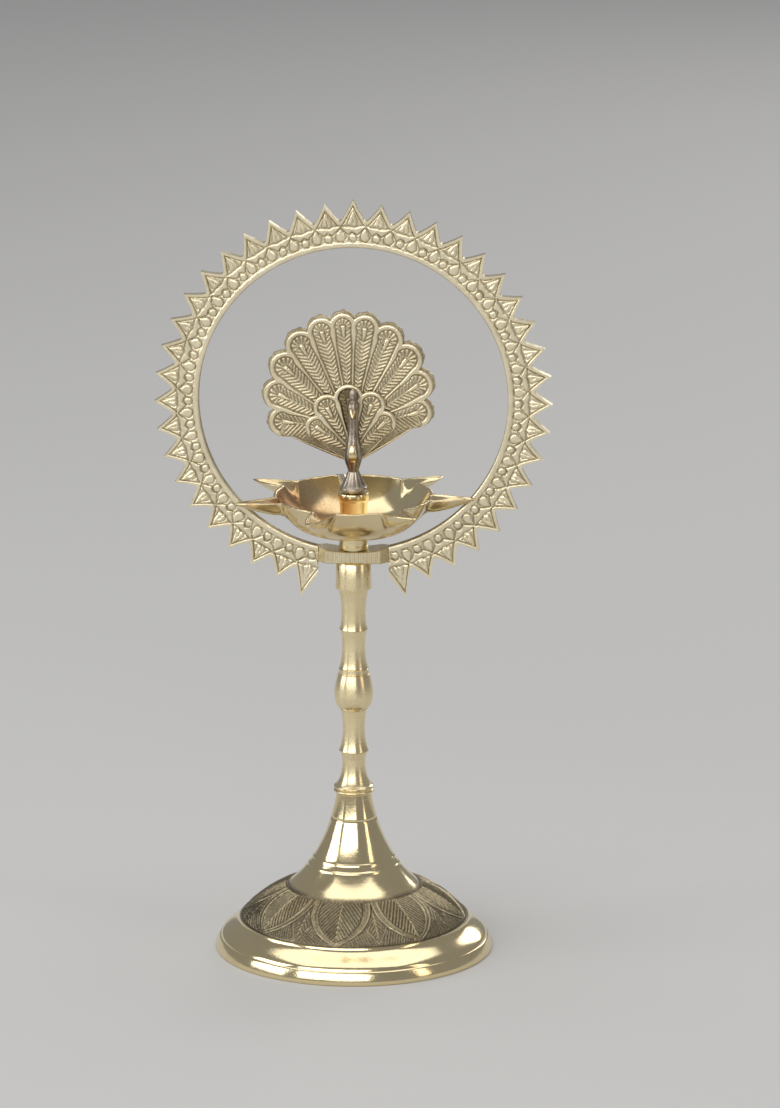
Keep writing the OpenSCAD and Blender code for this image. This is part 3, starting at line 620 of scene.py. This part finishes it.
def dish_depth(radius, angle, shrink):
    """How far the dish lies below its rim, at a radius and an angle; above zero inside the outline.
    The bowl has a flat floor and a side that steepens to the rim. Each channel is a curved V whose
    keel climbs to the rim at its tip. The two run together in a small fillet. shrink moves the walls
    inwards and the floor up, for the inside."""
    pitch = 2 * np.pi / spouts
    off = (angle - spout_turn + pitch / 2) % pitch - pitch / 2
    inward = dish_r - shrink - radius
    full = dish_h - shrink
    bowl = full * (1 - (1 - (inward / (dish_r - floor_r)).clip(0, 1)) ** 3.2)
    bowl = np.where(inward > 0, bowl, inward * 4)
    out = radius * np.cos(off) - dish_r
    side = abs(radius * np.sin(off))
    share = (out / (spout_l - shrink * 1.5)).clip(0, None)
    half = (spout_w / 2 - shrink * 0.8) * (1 - share.clip(0, 1) ** 1.7) ** 0.8 + 0.02
    keel = (spout_d - shrink * 0.9) * (1 - share.clip(0, 1) ** 1.2) ** 0.9 + 0.05
    channel = np.where(share < 1, keel * (1 - (side / half) ** 1.5).clip(-6, 1), -8 * (share - 1) - side)
    channel = np.where(np.cos(off) > 0.3, channel, -9)
    fillet = 0.9
    return (bowl + channel + np.sqrt((bowl - channel) ** 2 + fillet ** 2)) / 2 - fillet ** 2 / 40


def dish_outline(angle, shrink):
    """The radius at each angle where the depth falls to nothing, found by halving a span."""
    probe = np.linspace(dish_r - shrink - 0.5, dish_r + spout_l, 160)[:, None]
    inside = dish_depth(probe, angle, shrink) > 0
    near = probe[inside.shape[0] - 1 - np.argmax(inside[::-1], axis=0), 0][None, :]
    far = near + (probe[1, 0] - probe[0, 0])
    for _ in range(24):
        middle = (near + far) / 2
        deep = dish_depth(middle, angle, shrink) > 0
        near, far = np.where(deep, middle, near), np.where(deep, far, middle)
    return near


# Rows run out over the underside, round the rim and back in over the inside.
dish_columns = spouts * 96
dish_angle = np.linspace(0, 2 * np.pi, dish_columns, endpoint=False)[None, :] + spout_turn
outside_r = dish_outline(dish_angle, 0.0)
inside_r = dish_outline(dish_angle, dish_wall * 0.8)
go_out = (1 - (1 - np.linspace(0, 1, 34)) ** 1.6)[:, None]
out_r = stud_hole_r + (outside_r - stud_hole_r) * go_out
in_r = (stud_hole_r + (inside_r - stud_hole_r) * go_out)[::-1]
beak_bends = np.array([0.8, 0.5, -1.8, 0.6, 0.5, -0.9, 0.9])
beak_number = np.round((dish_angle - spout_turn) / (2 * np.pi / spouts)).astype(int) % spouts
back_lift = 0.026 * dish_r * (1 + np.sin(dish_angle))
rim_wave = (0.07 * np.sin(dish_angle * 23 + 1.3) + 0.05 * np.sin(dish_angle * 57)
            + 0.04 * np.sin(dish_angle * 131))
rim_drop = 0.1


def rim_rise(radius):
    """How far the dish stands above level at a radius: its back sits a little high, less and less
    towards the beaks' tips, and each beak is bent up or down by its own amount."""
    share = ((radius - dish_r) / spout_l).clip(0, 1)
    beak = back_lift * (1 - share) + beak_bends[beak_number] * share ** 1.5
    return np.where(radius > dish_r, beak, back_lift * ease(radius, floor_r, dish_r))


def dish_z(radius, shrink):
    """Height of one side of the dish: the rim less the depth, with its rise."""
    depth = dish_depth(radius, dish_angle, shrink).clip(0, dish_h - shrink)
    return dish_rim_z - depth + rim_rise(radius) - rim_drop


out_z = dish_z(out_r, 0.0)
in_z = dish_z(in_r, dish_wall)
in_z[-1], out_z[0] = dish_low + dish_wall, dish_low
round_turn = np.linspace(0, np.pi, 9)[1:-1, None]
edge_r = (outside_r + inside_r) / 2 + (outside_r - inside_r) / 2 * np.cos(round_turn)
edge_round = 0.34
edge_z = dish_rim_z + rim_rise(outside_r) - rim_drop + (rim_wave + edge_round) * np.sin(round_turn)
dish_rr = np.vstack([out_r, edge_r, in_r])
dish_zz = np.vstack([out_z, edge_z, in_z])
dish_points = np.stack([dish_rr * np.cos(dish_angle), dish_rr * np.sin(dish_angle), dish_zz], -1)
# The bowl's inside is painted darker and browner towards its left through the mark "high": a painted
# reflection of the bowl's own walls.
painted_reflection_mask = 1 - ease(dish_rr, dish_r - 3, dish_r + 9)
inner_side = np.arange(len(dish_rr))[:, None] >= len(out_r) + len(edge_r)
dish_painted_reflection = 1.35 - 1.25 * inner_side * painted_reflection_mask * (0.55 - 0.45 * np.cos(dish_angle - math.radians(20)))
dish = skin("dish", dish_points, dish_brass, loop=True, sharp=50, high=dish_painted_reflection)
fit(dish, "stand", "polished_brass", "oil_dish")

spool_r = 5.1
spool_low, spool_top = corner("dish_nut", 0)[2], top("dish_nut")
spool_h = spool_top - spool_low
finial_low = corner("finial_stud", 0)[2]
spool_outline = np.vstack([
    [[stud_hole_r, spool_low], [spool_r - 0.2, spool_low], [spool_r, spool_low + 0.2],
     [spool_r, spool_low + 1.5], [spool_r - 0.1, spool_low + 1.65]],
    bow([spool_r - 0.3, spool_low + 1.9], [spool_r - 0.95, spool_low + spool_h / 2],
        [spool_r - 0.3, spool_top - 2.5], 16),
    [[spool_r - 0.05, spool_top - 2.2], [spool_r, spool_top - 2.0], [spool_r, spool_top - 0.35],
     [spool_r - 0.1, spool_top - 0.1], [spool_r - 0.3, spool_top], [1.85, spool_top],
     [1.85, finial_low - 0.4], [0, finial_low - 0.4]]])
spool_under = np.array([[0, top("centre_stud") + 0.4], [stud_hole_r, top("centre_stud") + 0.4]])
spool_whole = np.vstack([spool_under, spool_outline])
spool_brass = brass("spool_brass", (0.90, 0.76, 0.46), (0.52, 0.36, 0.16), 0.16, 0.3, lines=0.3, stain=0.3,
                    patch=220.0, marked=False, brushed=0.6)
spool = skin("spool_nut", turned_points(spool_whole, stem_columns), spool_brass,
             along=length_along(spool_whole))
fit(spool, "stand", "polished_brass", "dish_nut")

# Peacock's fans ------------------------------
# Two cast plates riveted to the bird's back: the spread tail of eleven feathers, and in front of it the
# smaller fan of five coverts. Every feather has a raised border, an eye and rows of barbs, dark between.
fan_brass = brass("fan_brass", (0.96, 0.85, 0.60), (0.26, 0.21, 0.12), 0.28, 0.5, grain=0.5, stain=0.22)
plate_z = corner("tail_fan", 0)[2]
fan_lean = math.radians(4.5)


def feather_angles(count, pitch, spread):
    """Directions of the feathers from upright, in degrees: the step grows outwards by spread each time."""
    number = np.arange(count) - (count - 1) / 2
    return number * (pitch + spread * (abs(number) - 1) / 2)


def feather_lengths(angles, r, drop):
    """From the focus to a circle of radius r, whose centre is drop above the focus, at each angle."""
    a = np.radians(angles)
    return drop * np.cos(a) + np.sqrt(r * r - (drop * np.sin(a)) ** 2)


def fan_radius(angle, angles, lengths, lobes, root, focus):
    """Distance from the focus to the plate's edge at each angle: round lobes over the feathers, then a
    hollow curve in to the root on each side, and a straight bottom."""
    off = np.radians(angle[None] - angles[:, None, None])
    centre = (lengths - lobes)[:, None, None]
    lobe = lobes[:, None, None]
    reach = centre * np.cos(off) + np.sqrt((lobe ** 2 - (centre * np.sin(off)) ** 2).clip(0))
    reach = np.where((abs(centre * np.sin(off)) < lobe) & (np.cos(off) > 0), reach, 0).max(0)
    edge = np.radians(angles[-1])
    tip = (lengths[-1] - lobes[-1]) * np.array([np.sin(edge), np.cos(edge)])
    side = tip + 0.9 * lobes[-1] * np.array([np.cos(edge + np.radians(20)), -np.sin(edge + np.radians(20))])
    pull = [root + (side[0] - root) * 0.5, -focus + (side[1] + focus) * 0.45]
    web = np.vstack([bow(side, pull, [root, -focus], 40), [[0, -focus]]])
    web_angle = np.degrees(np.arctan2(web[:, 0], web[:, 1]))
    web_r = np.hypot(web[:, 0], web[:, 1])
    bottom = np.interp(abs(angle), web_angle, web_r)
    flat = focus / np.maximum(-np.cos(np.radians(angle)), 0.05)
    bottom = np.where(abs(angle) > web_angle[-2], np.minimum(flat, bottom + 99), bottom)
    return np.where(abs(angle) < web_angle[0], np.maximum(reach, 0), np.maximum(reach, bottom))


def feather_relief(r, angle, edge_r, angles, lengths, lobes, border, hollow):
    """Height of the feathers: a smooth border along the lobes and a rib between neighbours, each with
    a groove beside it; inside, a raised eye shaped like a drop, short strokes round its outer end and
    barbs below it that open outwards in a V. hollow is how deep the middle feather is sunk."""
    eye_l, barb_pitch, strokes_round, far_off = 3.6, 1.3, 13, 9.0
    middle = (angles[1:] + angles[:-1]) / 2
    number = np.searchsorted(middle, angle.ravel()).reshape(angle.shape)
    off = np.radians(angle - angles[number])
    length, lobe = lengths[number], lobes[number]
    along_f, side = r * np.cos(off), r * np.sin(off)
    centre = length - lobe
    from_lobe = lobe - np.hypot(side, along_f - centre)
    to_rib = np.min([abs(r * np.sin(np.radians(angle - rib))) + far_off * (abs(angle - rib) > 60)
                     for rib in middle], axis=0)
    half_w = r * np.sin(np.radians(angles[1] - angles[0])) * 0.55
    rib_in = to_rib - 0.30 - 0.55 * ease(along_f, centre - 8, centre) * (half_w > 2)
    past = ease(along_f, centre - 1.5, centre + 1.0)
    inner = rib_in * (1 - past) + np.minimum(from_lobe - border, rib_in + 3 * past) * past
    to_edge = (edge_r - r) * 0.8
    last = np.minimum((from_lobe - border) * past + (1 - past) * far_off, to_edge - 0.7)
    inner = np.where(abs(angle) > angles[-1], last, inner)
    h = 0.40 * (1 - ease(inner, -0.15, 0.12)) - 0.12 * hump(inner, 0.3, 0.2)
    eye_top = centre + 0.2
    eye_low = eye_top - eye_l
    drop_w = 0.44 + 0.28 * ease(along_f, eye_low, eye_top - 0.6)
    eye = 0.52 * np.sqrt((1 - (side / drop_w) ** 4).clip(0)) * ease(along_f, eye_low - 0.4, eye_low + 0.3) \
        * (1 - ease(along_f, eye_top - 0.1, eye_top + 0.35))
    out = np.hypot(side, along_f - eye_top + 0.6)
    strokes = combed(np.arctan2(side, along_f - eye_top + 0.6), 2 * np.pi / strokes_round)
    strokes = strokes * ease(out, 0.9, 1.1)
    barbs = combed(along_f - 0.75 * abs(side), barb_pitch)
    texture = np.where(along_f > eye_top - 0.8, strokes, barbs)
    at_eye = ease(along_f, eye_low - 0.6, eye_low) * (1 - ease(along_f, eye_top, eye_top + 0.4))
    beside = 1 - at_eye * (1 - ease(abs(side), drop_w + 0.1, drop_w + 0.35))
    on_feathers = 1 - ease(abs(angle), angles[-1] + 6, angles[-1] + 24)
    panel = np.maximum(0.26 * texture * beside * on_feathers, eye)
    panel = np.maximum(panel, 0.20 * hump(side, 0, 0.2) * (along_f < eye_low + 0.5))
    h = np.maximum(h, panel * ease(inner, 0.35, 0.6))
    # The middle feather is sunk, and the same depth, carried into the mark "high", paints it dark: a painted
    # shade in its hollow.
    sunk_and_painted_shade = hollow * (abs(angle) < middle[len(middle) // 2]) * ease(inner, 0.0, 0.5)
    return h - sunk_and_painted_shade * (0.6 + 0.4 * ease(r, 4, 9)) - 0.25 * (1 - ease(to_edge, 0.0, 0.4))


def fan_plate(name, node_name, shape, front_y, back_y, lip, columns, rows, border, hollow):
    """A closed plate: rows run from the focus out over the front, round the edge, where the back
    stands out by lip, and in over the back; the columns are directions round the focus."""
    count, pitch, spread, r, drop, root, focus = shape
    angles = feather_angles(count, pitch, spread)
    lengths = feather_lengths(angles, r, drop)
    step = np.radians(pitch + spread * (abs(np.arange(count) - (count - 1) / 2) - 0.5).clip(0))
    lobes = 1.2 * lengths * np.sin(step / 2) / (1 + np.sin(step / 2))
    wide = angles[-1] + 18
    fine = int(columns * 0.8)
    angle = np.concatenate([np.linspace(-wide, wide, fine, endpoint=False),
                            np.linspace(wide, 360 - wide, columns - fine, endpoint=False)])
    angle = ((angle + 180) % 360 - 180)[None, :]
    edge_r = fan_radius(angle, angles, lengths, lobes, root, focus)
    share = np.linspace(0, 1, rows)[:, None]
    front_r = edge_r * share
    relief = feather_relief(front_r, angle + 0 * share, edge_r, angles, lengths, lobes, border, hollow)
    wave = 0.14 * np.sin(np.radians(angle) * 61) + 0.10 * np.sin(np.radians(angle) * 97 + 1)
    on_lobes = 1 - ease(abs(angle), angles[-1] + 4, wide)
    back_edge = edge_r + (lip - 0.25 + wave) * on_lobes * (lip > 0)
    deep = back_y - front_y
    turn_r = np.vstack([edge_r, edge_r, back_edge - 0.1 * (lip > 0), back_edge])
    turn_y = np.array([front_y + 0.55, back_y - deep / 3 - 0.05, back_y - deep / 3, back_y - 0.2])[:, None]
    back_share = np.linspace(0.985, 0, 26)[:, None]
    back_r = back_edge * back_share
    back_relief = feather_relief(np.minimum(back_r, edge_r), angle + 0 * back_share, edge_r, angles,
                                 lengths, lobes, border, 0.0)
    rr = np.vstack([front_r, turn_r, back_r])
    back_side = back_y - 0.35 + 0.7 * back_relief.clip(0, 0.5)
    yy = np.vstack([front_y + 0.45 - relief, turn_y + 0 * edge_r, back_side])
    # Colour follows the relief: grooves come out darker as patina, and the covert's sunk middle feather
    # comes out dark as painted shade.
    high = np.vstack([0.24 + 1.9 * relief, 0.4 + 0 * turn_r, 0.25 + 1.5 * back_relief])
    x, z = rr * np.sin(np.radians(angle)), focus + rr * np.cos(np.radians(angle))
    z = z.clip(0, None)
    lean_c, lean_s = math.cos(fan_lean), math.sin(fan_lean)
    points = np.stack([x * lean_c - z * lean_s, yy, plate_z + (x * lean_s + z * lean_c).clip(0, None)], -1)
    return fit(skin(name, points, fan_brass, high=high, sharp=60), "peacock", "satin_brass", node_name)


tail_front, tail_back = corner("covert_fan", 1)[1], corner("tail_fan", 1)[1]
covert_front = corner("covert_fan", 0)[1]
fan_plate("tail_feathers", "tail_fan", (11, 12, 1.9, 27.2, 11.5, 3.6, 9.5), tail_front, tail_back, 1.0,
          600, 120, 1.5, 0.0)
fan_plate("covert_feathers", "covert_fan", (5, 25, 0, 14.3, 8.2, 3.0, 2.4), covert_front, tail_front - 0.05,
          0.0, 360, 90, 1.3, 0.5)

# Peacock ------------------------------
# A small solid casting, greyed by handling: a ribbed mound that screws down on the finial stud, a slim
# breast with a golden drop on it, a thin neck, a head with its beak bent down and an upright crest.
bird_brass = brass("bird_brass", (0.80, 0.72, 0.60), (0.18, 0.14, 0.11), 0.22, 0.42, grain=0.35, stain=0.40,
                   brushed=0.6)
bird_low = corner("peacock_body", 0)[2]
mound_r, mound_h, bird_neck_r = 4.6, 6.4, 2.0
bird_hole_r, bird_hole_l, mound_columns, mound_ribs = 1.85, 4.6, 112, 14
mound_outline = np.vstack([
    [[0, bird_hole_l], [bird_hole_r, bird_hole_l], [bird_hole_r, 0]],
    [[mound_r - 0.4, 0], [mound_r, 0.5], [mound_r - 0.1, 1.1]],
    bow([mound_r - 0.3, 1.2], [bird_neck_r + 0.9, 3.4], [bird_neck_r - 0.2, mound_h], 22),
    [[0, mound_h + 0.2]]]) + [0, bird_low]
mound_points = turned_points(mound_outline, mound_columns)
mound_angle = np.linspace(0, 2 * np.pi, mound_columns, endpoint=False)[None, :]
mound_z = mound_outline[:, 1:]
ribbed = ease(mound_z, bird_low + 1.1, bird_low + 2) * (mound_outline[:, :1] > bird_hole_r + 0.01)
ribs = 1 - 0.07 * ribbed * combed(mound_angle, 2 * np.pi / mound_ribs)
mound_points[..., 0] *= ribs
mound_points[..., 1] *= ribs
mound = skin("peacock_mound", mound_points, bird_brass, high=0.35 + 5 * (ribs - 0.93) + 0 * mound_z)
fit(mound, "peacock", "tarnished_brass", "peacock_body")

bird_stations = np.array([  # height, half width, half depth, middle towards the front
    [5.4, 0.0, 0.0, 0.2], [5.5, 1.3, 1.3, 0.2], [6.6, 1.6, 1.6, 0.6], [8.4, 2.2, 2.1, 1.3],
    [10.6, 2.9, 2.6, 2.1], [12.4, 3.0, 2.7, 2.3], [15.0, 2.6, 2.4, 2.2], [18.0, 2.0, 2.0, 1.9],
    [21.0, 1.7, 1.75, 1.8], [24.0, 1.6, 1.7, 2.1], [26.2, 1.9, 2.1, 2.5], [27.6, 2.2, 2.3, 2.7],
    [29.2, 1.9, 2.0, 2.6], [30.3, 1.2, 1.3, 2.4], [30.9, 0.0, 0.0, 2.3]])


def bird_points(rows, columns):
    """The bird's trunk: ellipses round a bent spine, their height, widths and place read between the
    stations above and then evened out; its sides carry faint ridges. The second result marks them."""
    share = np.linspace(0, 1, rows)
    station = np.linspace(0, 1, len(bird_stations))
    smooth = [np.interp(share, station, bird_stations[:, k]) for k in range(4)]
    neighbours = np.array([0.25, 0.5, 0.25])
    for _ in range(10):
        smooth = [np.concatenate([s[:1], np.convolve(s, neighbours, "valid"), s[-1:]]) for s in smooth]
    height, wide, deep, out = [s[:, None] for s in smooth]
    turn = np.linspace(0, 2 * np.pi, columns, endpoint=False)[None, :]
    scale = 0.05 * np.cos(turn * 9) * ease(wide, 1.2, 1.9)
    x, y = (wide + scale) * np.cos(turn), (deep + scale) * np.sin(turn) - out
    return np.stack([x, np.minimum(y, 0.38), bird_low + height + 0 * turn], -1), 0.42 + 4 * scale


trunk_points, trunk_high = bird_points(110, 64)
trunk = skin("peacock_trunk", trunk_points, bird_brass, high=trunk_high)
fit(trunk, "peacock", "tarnished_brass", "peacock_body")


def limb_points(start, end, wide, deep, rows, columns, sharpness):
    """A horn from start to end: ellipses that shrink to a point, by the power sharpness."""
    share = np.linspace(0, 1, rows)[:, None]
    turn = np.linspace(0, 2 * np.pi, columns, endpoint=False)[None, :]
    start, end = np.array(start, float), np.array(end, float)
    ahead = (end - start) / np.linalg.norm(end - start)
    across = np.array([1.0, 0, 0])
    up = np.cross(across, ahead)
    size = (1 - share ** sharpness).clip(0) * (share > 0)
    sideways = (wide * size * np.cos(turn))[..., None]
    upwards = (deep * size * np.sin(turn))[..., None]
    return start + (end - start) * share[..., None] + across * sideways + up * upwards


gold_brass = brass("gold_brass", (0.90, 0.74, 0.42), (0.40, 0.25, 0.12), 0.2, 0.35, stain=0.2, marked=False)
beak_root, beak_tip = (0, -3.6, bird_low + 27.6), (0, -6.3, bird_low + 24.9)
crest_root, crest_tip = (0, -2.2, bird_low + 28.0), (0, -2.0, bird_low + 34.0)
beak_points = limb_points(beak_root, beak_tip, 1.25, 1.1, 26, 32, 1.6)
beak = skin("peacock_beak", beak_points[:, ::-1], gold_brass)
fit(beak, "peacock", "tarnished_brass", "peacock_body")
crest_points = limb_points(crest_root, crest_tip, 1.25, 0.8, 26, 32, 9.0)
crest = skin("peacock_crest", crest_points[:, ::-1], bird_brass, high=0.5)
fit(crest, "peacock", "tarnished_brass", "peacock_body")

# The drop on the breast: flat ellipses, wider below the middle, that follow the breast's front line.
drop_middle, drop_half_h, drop_half_w, drop_t = 12.9, 3.3, 1.6, 0.75
drop_turn = np.linspace(0, 2 * np.pi, 48, endpoint=False)[None, :]
drop_rise = np.linspace(0, np.pi, 26)[:, None]
drop_wide = drop_half_w * np.sin(drop_rise) ** 1.25 * (0.85 - 0.15 * np.cos(drop_rise))
drop_out = drop_t * np.sin(drop_rise) ** 0.8
drop_z = bird_low + drop_middle + drop_half_h * np.cos(drop_rise)
breast_y = np.interp(drop_z, trunk_points[:, 0, 2], trunk_points[..., 1].min(1))
breast_drop = np.stack([drop_wide * np.cos(drop_turn), breast_y + 0.22 + drop_out * np.sin(drop_turn),
                        drop_z + 0 * drop_turn], -1)
drop = skin("breast_drop", breast_drop[::-1], gold_brass)
fit(drop, "peacock", "tarnished_brass", "peacock_body")
